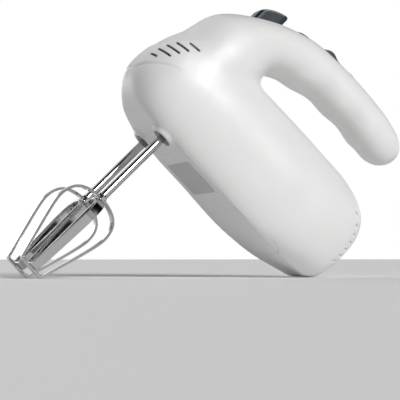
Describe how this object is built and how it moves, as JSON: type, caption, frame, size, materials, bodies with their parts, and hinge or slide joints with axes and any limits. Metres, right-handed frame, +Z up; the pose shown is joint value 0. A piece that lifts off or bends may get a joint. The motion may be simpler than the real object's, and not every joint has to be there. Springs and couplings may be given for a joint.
{
  "type": "hand mixer",
  "caption": "Electric hand mixer with an open-ended handle, thumb speed slider, eject button and removable balloon beaters, standing on its beaters and heel.",
  "frame": {"origin": "bottom centre of the box around the standing mixer, on the surface that it stands on", "axes": "+Z up; +X from the beaters to the heel; Y is the mixer's width, with its left side towards -Y"},
  "size_m": [0.2776, 0.09, 0.1873],
  "materials": {
    "white_plastic": "satin gloss",
    "label": "printed film",
    "steel": "machined",
    "dark_rubber": "matt",
    "grey_plastic": "moulded",
    "bronze": "sintered",
    "lamination": "stacked",
    "copper": "enamelled wire",
    "carbon": "pressed",
    "brass": "stamped",
    "slate_plastic": "satin",
    "dark_plastic": "moulded",
    "board": "laminate",
    "gear_nylon": "moulded",
    "chrome": "polished"
  },
  "bodies": {
    "housing": {"board_parts": "dark_plastic", "bottom_cover": "white_plastic", "brush_holders": "brass", "brush_springs": "steel", "carbon_brushes": "carbon", "circuit_board": "board", "cord_inlet": "dark_rubber", "eject_spring": "steel", "field_coils": "copper", "frame_screws": "steel", "gear_frame": "grey_plastic", "gear_frame_top": "grey_plastic", "housing_screws": "steel", "left_shell": "white_plastic", "motor_bearings": "bronze", "rating_label": "label", "rear_bearing_bracket": "steel", "right_shell": "white_plastic", "slider_track": "dark_plastic", "speed_switch": "dark_plastic", "spindle_bushes": "bronze", "stator_core": "lamination"},
    "armature": {"armature_shaft": "steel", "armature_core": "lamination", "armature_windings": "copper", "commutator": "copper", "cooling_fan": "grey_plastic", "worm": "steel"},
    "left_drive": {"left_worm_wheel": "gear_nylon", "left_spindle": "steel"},
    "right_drive": {"right_worm_wheel": "gear_nylon", "right_spindle": "steel"},
    "left_beater": {"left_beater_shaft": "chrome", "left_beater_loop": "chrome", "left_beater_cross_loop": "chrome"},
    "right_beater": {"right_beater_shaft": "chrome", "right_beater_loop": "chrome", "right_beater_cross_loop": "chrome"},
    "eject_control": {"eject_button": "slate_plastic", "ejector_fork": "grey_plastic"},
    "speed_control": {"speed_slider": "dark_plastic"}
  },
  "joints": [
    {"name": "armature_spin", "type": "hinge", "parent": "housing", "child": "armature", "pos_m": [0.00796, 0, 0.08735], "axis": [0.6972, 0, -0.7169], "continuous": true},
    {"name": "right_drive_spin", "type": "hinge", "parent": "housing", "child": "right_drive", "pos_m": [-0.02136, 0.023, 0.11463], "axis": [0.7169, 0, 0.6972], "continuous": true},
    {"name": "left_drive_spin", "type": "hinge", "parent": "housing", "child": "left_drive", "pos_m": [-0.02136, -0.023, 0.11463], "axis": [0.7169, 0, 0.6972], "continuous": true},
    {"name": "right_beater_pull", "type": "slide", "parent": "right_drive", "child": "right_beater", "axis": [-0.7169, 0, -0.6972], "range_m": [0, 0.035]},
    {"name": "left_beater_pull", "type": "slide", "parent": "left_drive", "child": "left_beater", "axis": [-0.7169, 0, -0.6972], "range_m": [0, 0.035]},
    {"name": "eject_press", "type": "slide", "parent": "housing", "child": "eject_control", "axis": [-0.7169, 0, -0.6972], "range_m": [0, 0.005], "stiffness_N_per_m": 800, "springref_m": -0.002},
    {"name": "speed_slide", "type": "slide", "parent": "housing", "child": "speed_control", "axis": [-0.7902, 0, 0.6129], "range_m": [0, 0.018]}
  ],
  "couplings": [
    {"joint": "right_drive_spin", "follows": "armature_spin", "ratio": -0.027778},
    {"joint": "left_drive_spin", "follows": "armature_spin", "ratio": 0.027778}
  ]
}
